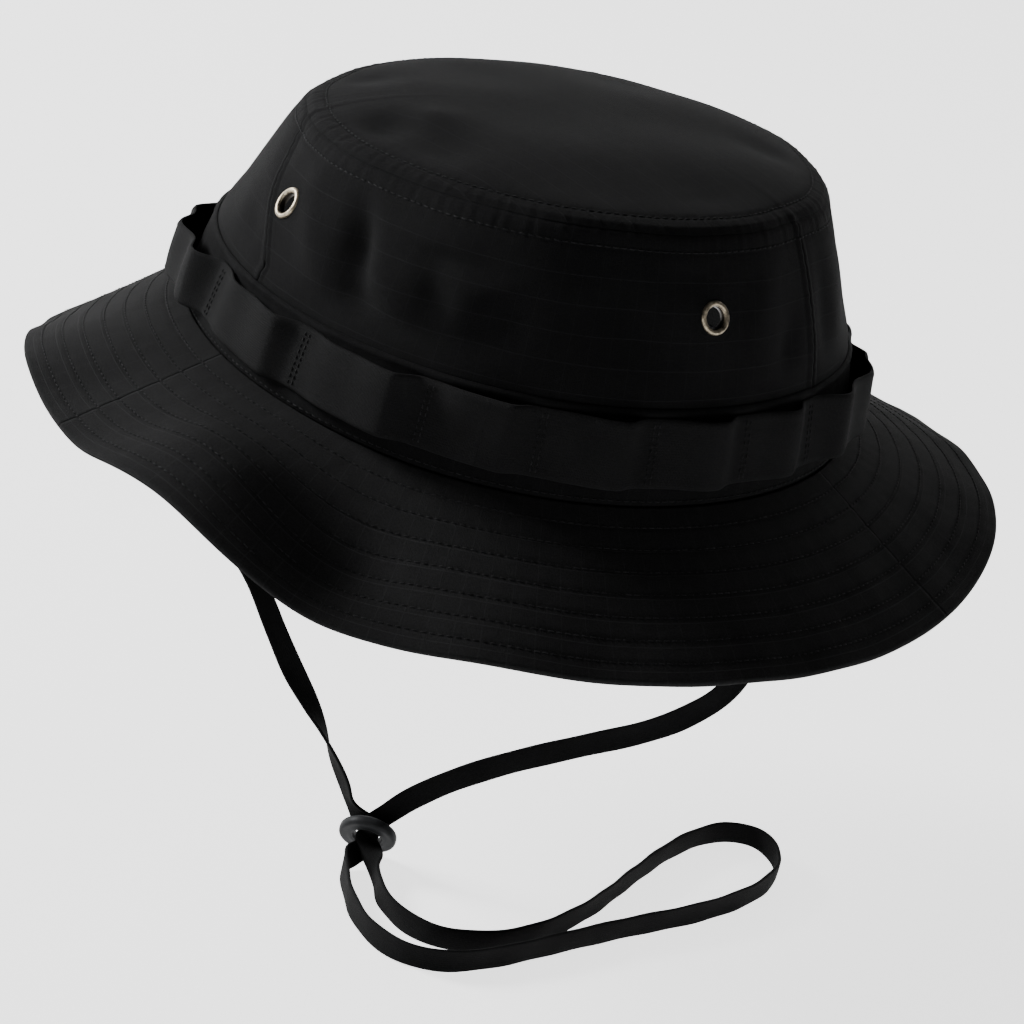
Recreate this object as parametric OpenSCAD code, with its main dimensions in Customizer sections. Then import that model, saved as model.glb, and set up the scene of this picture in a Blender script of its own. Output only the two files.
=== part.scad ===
// Soft bucket hat with a wide stitched brim, a band of webbing loops, four
// vent eyelets and a flat chin cord with a sliding keeper.
// +Z is up and the front of the hat faces -Y. The origin is the middle of the
// head opening, level with the seam between the crown and the brim.

/* [Crown] */
// Half width of the crown at the brim seam
head_half_w = 93; // [84:1:100]
// Half depth of the crown at the brim seam
head_half_d = 100; // [90:1:108]
// Half width of the tip at its seam
tip_half_w = 72; // [64:1:78]
// Half depth of the tip at its seam
tip_half_d = 79; // [70:1:84]
// Height of the tip seam above the brim seam
crown_h = 66; // [55:1:80]
// How far the wall bows outwards half way up
wall_bow = 4; // [0:0.5:6]
// How far the middle of the tip stands above its seam
tip_dome = 10; // [4:0.5:14]
// How far the brim seam dips at the front and the back
seam_dip = 3; // [0:0.5:6]
// Sideways slope of the soft crown, as rise over run
crown_lean = 0.065; // [0:0.005:0.08]
// Thickness of the crown cloth
cloth = 0.8; // [0.6:0.1:1]
// Azimuth of the two front wall seams, each side of the front
seam_az = 65; // [55:5:75]
// How far the left seam strays from a straight one, at its top and at its foot
seam_stray = [-10, 14];

/* [Bands] */
// Height of the folded strip round the foot of the crown
base_band_h = 26; // [24:1:32]
// Height of the loop webbing
webbing_h = 18; // [16:1:20]
// Height of the webbing's lower edge above the brim seam
webbing_z = 6; // [3:0.5:7]
// How far the webbing sags at the left side
webbing_sag = 4.5; // [0:0.5:5]
// How far each loop stands out between its stitches
loop_out = 3.9; // [2:0.1:4]
// Height of the sweatband inside the crown
sweat_h = 30; // [24:1:34]

/* [Brim] */
// Width of the brim along its slope
brim_w = 53; // [44:1:60]
// Share by which the brim is narrower at the left side
brim_narrow = 0.13; // [0:0.01:0.2]
// Mean downward slope of the brim
brim_slope = 26; // [20:1:32]
// Thickness of each brim cloth layer
brim_cloth = 0.6; // [0.4:0.1:0.8]
// Thickness of the stiff layer between them
brim_core_t = 0.8; // [0.6:0.1:1.2]

/* [Eyelets] */
// Azimuths of the vent eyelets, from the front towards +X
eyelet_az = [-55, 38, 125, -142];
// Height of the eyelet centres up the wall, as a share of the wall
eyelet_up = 0.7; // [0.6:0.01:0.75]
// Outer radius of an eyelet's flange
eyelet_r = 4.6; // [4:0.1:5]
// Radius of the vent hole through an eyelet
vent_r = 2.9; // [2.4:0.1:3]

/* [Chin cord] */
// Width of the flat cord
tape_w = 6.6; // [5:0.1:6.8]
// Thickness of the flat cord
tape_t = 1; // [0.8:0.1:1.2]
// Outer radius of the sliding keeper
keeper_r = 8.3; // [7.5:0.1:8.4]
// Radius of the hole through the keeper
keeper_hole_r = 3.9; // [3.7:0.1:4.2]
// Thickness of the keeper
keeper_t = 3; // [2:0.1:3]

/* [Hidden] */

cloth_black = "#2b2c2e";
webbing_black = "#222325";
brass = "#6d5a3c";
core_grey = "#3a3b3d";
cord_grey = "#2a2b2c";
keeper_grey = "#2e2f31";
az_step = 5;
gap = 0.2;
round_fn = 48;

// ---- shape of the hat -------------------------------------------------------

function mix(a, b, u) = a * (1 - u) + b * u;

// Outward direction of the crown seam's oval at azimuth t
function out_dir(t) =
    let (v = [sin(t) / head_half_w, -cos(t) / head_half_d])
    v / norm(v);

// Height of the brim seam at azimuth t
function seam_z(t) = -seam_dip * cos(2 * t);

// Point of the crown wall: u runs from the brim seam (0) to the tip seam (1),
// d is the distance outwards from the cloth's outer face
function wall_point(t, u, d) =
    let (
        bow = wall_bow * 4 * u * (1 - u),
        x = (mix(head_half_w, tip_half_w, u) + bow) * sin(t),
        y = -(mix(head_half_d, tip_half_d, u) + bow) * cos(t),
        z = u * (crown_h + crown_lean * x) + (1 - u) * seam_z(t),
        n = out_dir(t)
    )
    [x + d * n[0], y + d * n[1], z];

// Share of the wall's height that a height above the brim seam comes to
function up(h) = h / (crown_h + seam_dip);

// Point of the domed tip: r runs from its middle (0) to its seam (1),
// d is the height above the cloth's outer face
function tip_point(t, r, d) =
    let (rim = wall_point(t, 1, 0))
    [rim[0] * r, rim[1] * r, crown_h + (rim[2] - crown_h) * r + tip_dome * (1 - pow(r, 3.2)) + d];

// Slope of the brim at azimuth t: its mean slope, the soft waves in it, each as
// its height, its phase and how many there are round the brim, and the folds over
// its left, each as its azimuth, how much steeper the brim is there and its width
waves = [[9, 25, 1], [7.5, -107, 2], [5.5, -51, 3], [3, 32, 4], [2.5, 43, 5]];
folds = [
    [-120, 4.3, 20], [-95, -2.6, 20], [-70, -6.1, 20], [-52, 12.7, 15],
    [-39, -1.1, 15], [-26, -5, 15], [-12, 7.2, 15], [3, -6, 15]
];
function slope(t) =
    brim_slope
    + sum([for (w = waves) w[0] * cos(w[2] * t + w[1])])
    + sum([for (f = folds) f[1] * swell(t, f[0], f[2])]);
function sum(v, i = 0) = i < len(v) ? v[i] + sum(v, i + 1) : 0;

// A round swell of height 1 about azimuth c
function swell(t, c, width) = exp(-pow(((t - c + 540) % 360 - 180) / width, 2));

// Share of its full width that the brim has at azimuth t
function reach(t) = 1 - brim_narrow * swell(t, -80, 38);

// Point of the brim: s is the distance out from the seam along the slope,
// d is the distance above the brim's middle face
function brim_point(t, s, d) =
    let (
        n = out_dir(t),
        a = slope(t),
        c = wall_point(t, 0, 0),
        out = s * reach(t),
        run = out * cos(a) + d * sin(a),
        drop = out * sin(a) - d * cos(a)
    )
    [c[0] + n[0] * run, c[1] + n[1] * run, c[2] - drop];

// ---- closed shells ----------------------------------------------------------

// Two triangles in place of a four-sided face
function halves(a, b, c, d) = [[a, b, c], [a, c, d]];

// Faces between ring i and ring j of points, each with k points. The two long
// sides of a section are split along the same diagonal, so a layer's faces stay
// parallel to those of the layer beside it.
function band_faces(i, j, k) = [
    for (m = [0 : k - 1])
        let (
            a = i * k + m,
            b = i * k + (m + 1) % k,
            c = j * k + (m + 1) % k,
            d = j * k + m
        )
        each (m < k / 2 ? halves(a, b, c, d) : halves(b, c, d, a))
];

// Faces that close a section whose two long sides run beside each other
function cap_faces(first, k) = [
    for (m = [0 : k / 2 - 2])
        each halves(first + m, first + k - 1 - m, first + k - 2 - m, first + m + 1)
];

function flipped(faces) = [for (f = faces) [f[2], f[1], f[0]]];

// Sweeps closed sections of equal length into a solid: a bar with end caps,
// or a closed ring when the last section is to meet the first
module sweep(sections, ring = false) {
    k = len(sections[0]);
    n = len(sections);
    points = [for (s = sections) each s];
    body = [for (i = [0 : n - 2]) each band_faces(i, i + 1, k)];
    ends = concat(cap_faces(0, k), flipped(cap_faces((n - 1) * k, k)));
    polyhedron(points, concat(body, ring ? band_faces(n - 1, 0, k) : ends), convexity = 8);
}

// Section of the wall at azimuth t, from share u0 to u1, between offsets d0 and d1
function wall_section(t, u0, u1, d0, d1, steps) = concat(
    [for (i = [0 : steps]) wall_point(t, mix(u0, u1, i / steps), d1)],
    [for (i = [steps : -1 : 0]) wall_point(t, mix(u0, u1, i / steps), d0)]
);

// Section of the brim at azimuth t, from distance s0 to s1, between offsets d0 and d1
function brim_section(t, s0, s1, d0, d1, steps) = concat(
    [for (i = [0 : steps]) brim_point(t, mix(s0, s1, i / steps), d0)],
    [for (i = [steps : -1 : 0]) brim_point(t, mix(s0, s1, i / steps), d1)]
);

full_turn = [for (t = [0 : az_step : 360 - az_step]) t];

// Azimuths from a to b: whole steps, and both ends drawn in a little for the seam gap
function arc(a, b) =
    let (first = az_step * ceil((a + 1) / az_step), last = az_step * floor((b - 1) / az_step))
    concat(a + 0.12, [for (t = [first : az_step : last]) t], b - 0.12);

module wall_ring(u0, u1, d0, d1, steps = 2) {
    sweep([for (t = full_turn) wall_section(t, u0, u1, d0, d1, steps)], ring = true);
}

// ---- crown ------------------------------------------------------------------

wall_steps = 9;

// Azimuth at share u of the wall's height for a thread that is at t on a plain
// wall: the cloth is drawn sideways round the left seam
function drawn(t, u) =
    let (
        away = abs((t + seam_az + 540) % 360 - 180),
        stray = mix(seam_stray[1], seam_stray[0], max(u - 0.45, 0) / 0.55)
    )
    t + stray * max(1 - away / 40, 0);

// Section of the wall's cloth along such a thread
function cloth_section(t, u0, u1, d0, d1, steps) =
    let (shares = [for (i = [0 : steps]) mix(u0, u1, i / steps)])
    concat(
        [for (i = [0 : steps]) wall_point(drawn(t, shares[i]), shares[i], d1)],
        [for (i = [steps : -1 : 0]) wall_point(drawn(t, shares[i]), shares[i], d0)]
    );

module eyelet_place(i) {
    t = eyelet_az[i];
    lower = wall_point(t, eyelet_up - 0.03, 0);
    upper = wall_point(t, eyelet_up + 0.03, 0);
    rise = upper - lower;
    n = out_dir(t);
    run = rise[0] * n[0] + rise[1] * n[1];
    tilt = atan2(-run, rise[2]);
    translate(wall_point(t, eyelet_up, 0))
        rotate([0, 0, atan2(n[1], n[0])])
            rotate([0, 90 - tilt, 0])
                children();
}

module crown_panel(a, b) {
    color(cloth_black)
        difference() {
            sweep([for (t = arc(a, b)) cloth_section(t, 0.01, 0.984, -cloth, 0, wall_steps)]);
            for (i = [0 : len(eyelet_az) - 1])
                eyelet_place(i)
                    cylinder(h = 8, r = vent_r + 0.7, center = true, $fn = round_fn);
        }
}

module crown_panel_front() { crown_panel(-seam_az, seam_az); }
module crown_panel_right() { crown_panel(seam_az, 180); }
module crown_panel_left() { crown_panel(180, 360 - seam_az); }

// The tip is a disc of cloth, swept in rings from its seam to a small middle ring
module crown_tip() {
    radii = [1, 0.9, 0.75, 0.55, 0.3];
    top = [for (r = radii) [for (t = full_turn) tip_point(t, r, 0)]];
    under = [for (r = radii) [for (t = full_turn) tip_point(t, r, -cloth)]];
    k = len(full_turn);
    n = len(radii);
    last = 2 * n * k;
    points = concat(
        [for (r = top) each r],
        [for (r = under) each r],
        [tip_point(0, 0, 0), tip_point(0, 0, -cloth)]
    );
    top_faces = [for (i = [0 : n - 2]) each band_faces(i, i + 1, k)];
    under_faces = [for (i = [n : 2 * n - 2]) each band_faces(i, i + 1, k)];
    top_middle = [for (j = [0 : k - 1]) [(n - 1) * k + j, (n - 1) * k + (j + 1) % k, last]];
    under_middle = [
        for (j = [0 : k - 1])
            [(2 * n - 1) * k + j, (2 * n - 1) * k + (j + 1) % k, last + 1]
    ];
    faces = concat(
        top_faces,
        top_middle,
        flipped(concat(under_faces, under_middle)),
        band_faces(n, 0, k)
    );
    color(cloth_black)
        polyhedron(points, faces, convexity = 6);
}

module tip_seam_tape() {
    color(webbing_black)
        wall_ring(0.86, 0.975, -cloth - gap - 0.5, -cloth - gap, 1);
}

// ---- bands ------------------------------------------------------------------

band_t = 0.6;
webbing_t = 0.9;
band_out = gap + band_t;

module base_band() {
    color(cloth_black)
        wall_ring(up(1), up(base_band_h), gap, band_out, 3);
}

loop_points = 6;
sag_az = -98;
sag_w = 24;

// Azimuths of the stitches between the loops: uneven over the front and wide at
// both sides, where they were sewn by eye, and evenly spaced round the back
front_stitches = [-60, -34, -10, 9, 28, 46, 63];
back_start = 100;
back_end = 258;
back_loops = 8;
back_pitch = (back_end - back_start) / back_loops;
back_stitches = [for (i = [0 : back_loops]) back_start + back_pitch * i];
stitches = concat(front_stitches, back_stitches, 360 + front_stitches[0]);

// How far the webbing stands off the base band at step i of a loop
function loop_lift(i) = gap + loop_out * (1 - cos(360 * i / loop_points)) / 2;

module loop_band() {
    color(webbing_black)
        sweep([
            for (j = [0 : len(stitches) - 2], i = [0 : loop_points - 1])
                let (
                    t = mix(stitches[j], stitches[j + 1], i / loop_points),
                    z = webbing_z - webbing_sag * swell(t, sag_az, sag_w),
                    d = band_out + loop_lift(i)
                )
                wall_section(t, up(z), up(z + webbing_h), d, d + webbing_t, 2)
        ], ring = true);
}

module sweatband() {
    color(webbing_black)
        wall_ring(up(0.5), up(sweat_h), -cloth - gap - 1, -cloth - gap, 3);
}

// ---- brim -------------------------------------------------------------------

brim_start = 0.6;
brim_steps = 4;
front_az = [-52, 71];
hem = 0.6;
core_half = brim_core_t / 2;
layer_in = core_half + 0.15;
layer_out = layer_in + brim_cloth;

module brim_part(a, b, d0, d1) {
    color(cloth_black)
        sweep([for (t = arc(a, b)) brim_section(t, brim_start, brim_w, d0, d1, brim_steps)]);
}

module brim_interlining() {
    color(core_grey)
        sweep([
            for (t = full_turn)
                brim_section(t, brim_start, brim_w - hem, -core_half, core_half, brim_steps)
        ], ring = true);
}

module brim_top_front() { brim_part(front_az[0], front_az[1], layer_in, layer_out); }
module brim_top_back() { brim_part(front_az[1], front_az[0] + 360, layer_in, layer_out); }
module brim_under_front() { brim_part(front_az[0], front_az[1], -layer_out, -layer_in); }
module brim_under_back() { brim_part(front_az[1], front_az[0] + 360, -layer_out, -layer_in); }

// ---- eyelets ----------------------------------------------------------------

// Rolled flange outside and a barrel through the wall, about the local Z axis
module eyelet() {
    flange_t = 0.7;
    barrel_r = vent_r + 0.5;
    roll_r = (eyelet_r - vent_r) / 2;
    color(brass)
        rotate_extrude($fn = round_fn)
            union() {
                translate([vent_r, -1.9])
                    square([barrel_r - vent_r, 1.9 + gap + flange_t]);
                intersection() {
                    translate([vent_r + roll_r, gap])
                        circle(r = roll_r, $fn = round_fn);
                    translate([vent_r, gap])
                        square([eyelet_r - vent_r, flange_t + 0.3]);
                }
            }
}

module washer() {
    color(brass)
        rotate_extrude($fn = round_fn)
            translate([vent_r + 0.55, -cloth - 2 * gap - 0.6])
                square([eyelet_r - vent_r - 0.4, 0.6]);
}

module eyelet_front_left() { eyelet_place(0) eyelet(); }
module eyelet_front_right() { eyelet_place(1) eyelet(); }
module eyelet_back_right() { eyelet_place(2) eyelet(); }
module eyelet_back_left() { eyelet_place(3) eyelet(); }
module washer_front_left() { eyelet_place(0) washer(); }
module washer_front_right() { eyelet_place(1) washer(); }
module washer_back_right() { eyelet_place(2) washer(); }
module washer_back_left() { eyelet_place(3) washer(); }

// ---- chin cord --------------------------------------------------------------

tab_x = head_half_w - 4.8;
tab_size = [1.2, 12, 12];
tab_z = 6;
tab_lean = 9.5;

// A stitched tab inside the sweatband, leaning with the wall, that holds one end
// of the cord
module cord_tab(side) {
    color(webbing_black)
        translate([side * tab_x, 0, tab_z + tab_size[2] / 2])
            rotate([0, -side * tab_lean, 0])
                cube(tab_size, center = true);
}

module cord_tab_left() { cord_tab(-1); }
module cord_tab_right() { cord_tab(1); }

// Unit vector
function unit(v) = v / norm(v);

// Direction of a route at point i
function along(route, i) =
    unit(route[min(i + 1, len(route) - 1)] - route[max(i - 1, 0)]);

// Flat eight-sided section of the cord at point p: w is the way its width runs
function tape_section(p, direction, wide) =
    let (
        n = unit(cross(direction, wide)),
        w = cross(n, direction),
        a = tape_w / 2,
        b = tape_t / 2
    )
    [
        for (c = [[a, b / 2], [a * 0.8, b], [-a * 0.8, b], [-a, b / 2],
                  [-a, -b / 2], [-a * 0.8, -b], [a * 0.8, -b], [a, -b / 2]])
            p + w * c[0] + n * c[1]
    ];

// Sweeps the flat cord along a route; each route point carries its width direction
module tape(route) {
    places = [for (r = route) r[0]];
    color(cord_grey)
        sweep([
            for (i = [0 : len(route) - 1])
                tape_section(places[i], along(places, i), route[i][1])
        ]);
}

left_route = [
    [[-89, 0, 5.8], [0, 1, 0]],
    [[-89, 0, -2], [0, 1, 0]],
    [[-89, -1, -12], [0.2, 1, 0]],
    [[-87.5, -4, -25], [0.4, 0.9, 0]],
    [[-83, -9, -38], [0.5, 0.8, 0.3]],
    [[-75, -14, -51], [0.5, 0.8, 0.3]],
    [[-64, -19.5, -63], [0.5, 0.8, 0.3]],
    [[-53, -24, -74], [0.5, 0.8, 0.3]],
    [[-45, -26, -85], [0.6, 0.6, 0.4]],
    [[-38, -27, -94.5], [0.7, 0.6, 0.4]],
    [[-31.5, -28, -102], [0.5, 0.8, 0.3]],
    [[-26, -29, -108.5], [0, 1, 0]],
    [[-21, -30, -115.5], [-0.4, 0.9, -0.2]],
    [[-16.5, -30, -122], [-0.6, 0.8, -0.3]],
    [[-13.5, -30, -127], [-0.6, 0.8, -0.1]],
    [[-9.3, -31.1, -130.8], [-0.9, 0.4, 0]],
    [[-6, -33.1, -132.9], [-1, 0, 0]],
    [[-6, -34.6, -134.1], [-1, 0, 0]]
];

right_route = [
    [[89, 0, 5.8], [0, 1, 0]],
    [[89, 0, -2], [0, 1, 0]],
    [[90, -2, -13], [0, 1, 0]],
    [[91, -6, -26], [0.1, 0.9, 0]],
    [[90, -12, -40], [0.3, 0.9, 0]],
    [[87, -19, -54], [0.7, 0.6, -0.2]],
    [[81, -25, -68], [0.8, 0.2, -0.5]],
    [[72, -26.5, -78], [0.6, 0, -0.8]],
    [[61, -27, -86], [0.5, 0, -0.9]],
    [[46, -28, -94], [0.5, 0, -0.9]],
    [[28, -29, -104], [0.5, 0, -0.8]],
    [[14, -30, -113], [0.6, 0, -0.8]],
    [[4, -31, -121], [0.7, 0, -0.7]],
    [[-2, -32, -127.2], [0.9, 0.1, -0.5]],
    [[-4.8, -32.8, -130.2], [1, 0, -0.2]],
    [[-6, -33.8, -131.9], [1, 0, 0]],
    [[-6, -35.4, -133.1], [1, 0, 0]]
];

// The loop below the keeper lies on the table, standing on its edge
lie = -137.8;
tail_route = [
    [[-6, -34.6, -134.1], [-1, 0, 0]],
    [[-6, -36.2, -135.3], [-1, 0, 0]],
    [[-6.4, -38.1, -137], [-1, 0, 0.3]],
    [[-8.6, -42, lie], [-0.7, 0, 0.7]],
    [[-10, -49, lie], [0, 0, 1]],
    [[-8, -61, lie], [0, 0, 1]],
    [[-4, -75, lie], [0, 0, 1]],
    [[3, -88, lie], [0, 0, 1]],
    [[13, -95.5, lie], [0, 0, 1]],
    [[25, -94, lie], [0, 0, 1]],
    [[38, -83, lie], [0, 0, 1]],
    [[53, -65, lie], [0, 0, 1]],
    [[72, -41, lie], [0, 0, 1]],
    [[89, -20, lie], [0, 0, 1]],
    [[101, -2, lie], [0, 0, 1]],
    [[108, 13, lie], [0, 0, 1]],
    [[111, 27, lie], [0, 0, 1]],
    [[109, 39, lie], [0, 0, 1]],
    [[103, 46, lie], [0, 0, 1]],
    [[94, 44, lie], [0, 0, 1]],
    [[86, 34, lie], [0, 0, 1]],
    [[78, 17, lie], [0, 0, 1]],
    [[69, -8, lie], [0, 0, 1]],
    [[60, -34, lie], [0, 0, 1]],
    [[51, -54, lie], [0, 0, 1]],
    [[42, -68, lie], [0, 0, 1]],
    [[32, -77, lie], [0, 0, 1]],
    [[21, -80.5, lie], [0, 0, 1]],
    [[11, -76, lie], [0, 0, 1]],
    [[3.5, -65, lie], [0, 0, 1]],
    [[0, -52, lie], [0, 0, 1]],
    [[-1.5, -45, -137.2], [0.4, 0, 0.9]],
    [[-4, -40, -136], [0.8, 0, 0.5]],
    [[-6, -37, -134.3], [1, 0, 0]],
    [[-6, -35.4, -133.1], [1, 0, 0]]
];

module chin_cord_left() { tape(left_route); }
module chin_cord_right() { tape(right_route); }
module chin_cord_tail() { tape(tail_route); }

// Round flat keeper that both strands pass through; its axis leans forward
keeper_at = [-6, -35, -133.6];
keeper_lean = 52;

module cord_keeper() {
    rim = keeper_t / 2;
    color(keeper_grey)
        translate(keeper_at)
            rotate([-keeper_lean, 0, 0])
                rotate_extrude($fn = round_fn)
                    union() {
                        translate([keeper_hole_r, -rim])
                            square([keeper_r - rim - keeper_hole_r, keeper_t]);
                        translate([keeper_r - rim, 0])
                            circle(r = rim, $fn = round_fn);
                    }
}

crown_tip();
crown_panel_front();
crown_panel_left();
crown_panel_right();
tip_seam_tape();
base_band();
loop_band();
sweatband();
brim_top_front();
brim_top_back();
brim_interlining();
brim_under_front();
brim_under_back();
eyelet_front_left();
eyelet_front_right();
eyelet_back_right();
eyelet_back_left();
washer_front_left();
washer_front_right();
washer_back_right();
washer_back_left();
cord_tab_left();
cord_tab_right();
chin_cord_left();
chin_cord_right();
chin_cord_tail();
cord_keeper();
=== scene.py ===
"""Looks of a ripstop bucket hat with a stitched brim, loop webbing and a chin cord."""

import math

import bpy
import numpy as np
from mathutils import Matrix, Vector


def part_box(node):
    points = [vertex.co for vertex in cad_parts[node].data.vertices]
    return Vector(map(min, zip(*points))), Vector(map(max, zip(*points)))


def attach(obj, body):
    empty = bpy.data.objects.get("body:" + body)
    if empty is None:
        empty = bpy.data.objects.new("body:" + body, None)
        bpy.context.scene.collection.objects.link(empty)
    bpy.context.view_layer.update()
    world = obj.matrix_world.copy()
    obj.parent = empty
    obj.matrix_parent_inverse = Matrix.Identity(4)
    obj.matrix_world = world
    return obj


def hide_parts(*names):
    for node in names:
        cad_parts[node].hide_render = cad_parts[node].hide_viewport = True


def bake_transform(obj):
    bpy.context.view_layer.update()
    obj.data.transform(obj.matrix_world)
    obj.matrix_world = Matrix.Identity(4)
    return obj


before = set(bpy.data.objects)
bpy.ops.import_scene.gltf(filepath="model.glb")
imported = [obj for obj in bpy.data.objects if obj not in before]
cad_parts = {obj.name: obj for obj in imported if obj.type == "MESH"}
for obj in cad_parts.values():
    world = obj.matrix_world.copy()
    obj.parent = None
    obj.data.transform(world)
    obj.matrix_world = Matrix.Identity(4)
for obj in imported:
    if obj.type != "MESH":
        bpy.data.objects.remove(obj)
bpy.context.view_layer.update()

MM = 0.001
RAD = math.pi / 180

# ---- sizes of the hat, in millimetres ----

HEAD_W, HEAD_D = 93.0, 100.0      # half width and depth at the brim seam
TIP_W, TIP_D = 72.0, 79.0         # half width and depth at the tip seam
CROWN_H = 66.0
WALL_BOW = 4.0
TIP_DOME = 10.0
SEAM_DIP = 3.0
WALL_RISE = CROWN_H + SEAM_DIP    # height that the wall's height share counts up to
CROWN_LEAN = 0.065
CLOTH = 0.8
BRIM_W = 53.0
BRIM_SLOPE = 26.0
BRIM_WAVES = ((9, 25, 1), (7.5, -107, 2), (5.5, -51, 3), (3, 32, 4), (2.5, 43, 5))
# Folds over the brim's left: azimuth, how much steeper the brim is there, and width
BRIM_FOLDS = ((-120, 4.3, 20), (-95, -2.6, 20), (-70, -6.1, 20), (-52, 12.7, 15),
              (-39, -1.1, 15), (-26, -5, 15), (-12, 7.2, 15), (3, -6, 15))
BRIM_NARROW = 0.13                # share by which it is narrower at the left
NARROW_AZ, NARROW_W = -80.0, 38.0
BRIM_HALF = 1.15                  # half the thickness of the brim's three layers
BRIM_ARC_R = HEAD_W + 26          # radius at which the brim's cloth is measured round
SEAM_AZ = (-65.0, 65.0, 180.0)    # azimuths of the seams in the crown wall
BRIM_SEAM_AZ = (-52.0, 71.0)
EYELET_AZ = (-55.0, 38.0, 125.0, -142.0)
EYELET_UP = 0.7
EYELET_R, VENT_R = 4.6, 2.9
BASE_BAND_H = 26.0
WEBBING_Z, WEBBING_H, WEBBING_T = 6.0, 18.0, 0.9
WEBBING_SAG, SAG_AZ, SAG_W = 4.5, -98.0, 24.0
SWEAT_H = 30.0
TAPE_W, TAPE_T = 6.6, 1.0
KEEPER_R, KEEPER_HOLE_R, KEEPER_T = 8.3, 3.9, 3.0
KEEPER_AT = (-6.0, -35.0, -133.6)
KEEPER_LEAN = 52.0
FLOOR_Z = -141.3

FRONT_STITCHES = (-60, -34, -10, 9, 28, 46, 63)
BACK_START, BACK_END, BACK_LOOPS = 100.0, 258.0, 8
BACK_PITCH = (BACK_END - BACK_START) / BACK_LOOPS
BACK_STITCHES = tuple(BACK_START + BACK_PITCH * i for i in range(BACK_LOOPS + 1))
STITCH_AZ = FRONT_STITCHES + BACK_STITCHES + (360 + FRONT_STITCHES[0],)

ROW_PITCH = 6.75
BRIM_ROWS = tuple(6.5 + ROW_PITCH * i for i in range(7))


# ---- smooth fields ----

def bump(x, centre, width):
    """A round bump of height 1."""
    return np.exp(-((x - centre) / width) ** 2)


def turn(t, centre):
    """Azimuth t measured from centre, in degrees, from -180 to 180."""
    return (np.degrees(t) - centre + 180) % 360 - 180


def smooth(x, a, b):
    s = np.clip((x - a) / (b - a), 0, 1)
    return s * s * (3 - 2 * s)


def make_ripple(waves, low, high, seed):
    """A seamless field over azimuth and a second coordinate, about -1 to 1."""
    draw = np.random.default_rng(seed)
    terms = [
        (draw.integers(low, high), draw.uniform(0, 2 * math.pi), draw.uniform(-2.5, 2.5))
        for _ in range(waves)
    ]

    def field(t, v):
        total = sum(np.sin(k * t + phase + drift * v) for k, phase, drift in terms)
        return total / math.sqrt(waves)

    return field


wall_ripple = make_ripple(7, 3, 17, 11)
brim_ripple = make_ripple(9, 7, 34, 5)
fine_ripple = make_ripple(9, 40, 110, 3)
webbing_ripple = make_ripple(5, 8, 40, 23)

# Dents and creases in the soft wall: azimuth, height share, width in degrees,
# height, slant of the crease in degrees per unit of height, depth in mm
DENTS = (
    (-33, 0.67, 3.8, 0.16, -20, 6.0),
    (-44, 0.66, 5.0, 0.18, -40, -1.6),
    (-28, 0.50, 5.0, 0.06, 0, 2.6),
    (-15, 0.66, 3.6, 0.09, -20, 2.2),
    (-25, 0.62, 5.0, 0.12, -50, -1.3),
    (-15, 0.765, 11.0, 0.05, 0, 1.9),
    (-17, 0.66, 10.0, 0.07, 0, -0.9),
    (-19, 0.47, 8.0, 0.06, 0, 2.2),
    (-2, 0.60, 5.0, 0.14, 30, 1.1),
    (8, 0.78, 12.0, 0.08, 0, -0.7),
    (24, 0.60, 6.0, 0.16, -30, 1.3),
    (33, 0.84, 6.0, 0.06, 0, 0.9),
    (50, 0.72, 5.0, 0.16, 14, -0.9),
    (57, 0.55, 3.4, 0.12, 10, 1.4),
    (71, 0.62, 3.6, 0.20, 0, 1.5),
    (-62, 0.55, 5.0, 0.10, -30, 1.2),
    (-68, 0.86, 5.0, 0.12, -30, 1.0),
    (-50, 0.88, 5.0, 0.07, 0, -0.8),
    (92, 0.72, 9.0, 0.22, 20, 1.6),
    (118, 0.62, 14.0, 0.16, -20, -1.4),
    (150, 0.74, 9.0, 0.22, 15, 1.8),
    (-160, 0.66, 12.0, 0.16, -15, 1.6),
    (-120, 0.70, 10.0, 0.20, 12, 1.4),
    (-88, 0.66, 10.0, 0.20, -12, 1.0),
)

SEAM_STRAY = (-10.0, 14.0)        # of the left seam at its top and its foot, in degrees
TOPSTITCH_U, TOPSTITCH_R = 0.925, 0.935    # on the wall and on the tip, as shares


def stray(t, u):
    """How far sideways the cloth is drawn round the left seam, in radians."""
    share = np.maximum(u - 0.45, 0) / 0.55
    pull = SEAM_STRAY[1] * (1 - share) + SEAM_STRAY[0] * share
    return pull * np.maximum(1 - abs(turn(t, SEAM_AZ[0])) / 40, 0) * RAD


def drawn(t, u):
    """Where on the wall a thread lies that is at azimuth t on a plain wall."""
    return t + stray(t, u)


def undrawn(t, u):
    """The azimuth on a plain wall of the thread that lies at t."""
    plain = t
    for _ in range(4):
        plain = t - stray(plain, u)
    return plain


def wall_relief(t, u):
    """How far the wall's cloth stands out from its plain shape, in mm."""
    free = smooth(u, 0.40, 0.55)
    relief = 0.55 * wall_ripple(t, 3 * u) * free
    for azimuth, height, wide, tall, slant, depth in DENTS:
        across = turn(t, azimuth + slant * (u - height))
        relief = relief - depth * free * bump(across, 0, wide) * bump(u, height, tall)
    plain = undrawn(t, u)
    for azimuth in SEAM_AZ:
        across = turn(plain, azimuth)
        pucker = np.sin(u * 130 + azimuth) * 0.12
        ridge = (0.42 + pucker) * bump(across, 0, 1.5) - 0.22 * bump(abs(across), 1.9, 0.5)
        relief = relief + ridge * smooth(u, 0.3, 0.42)
    gather = 0.07 * (np.sin(t * 97) + np.sin(t * 151 + 1)) * bump(u, 0.96, 0.05)
    channel = -0.3 * bump(u, TOPSTITCH_U, 0.012)
    return relief + gather + channel


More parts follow.
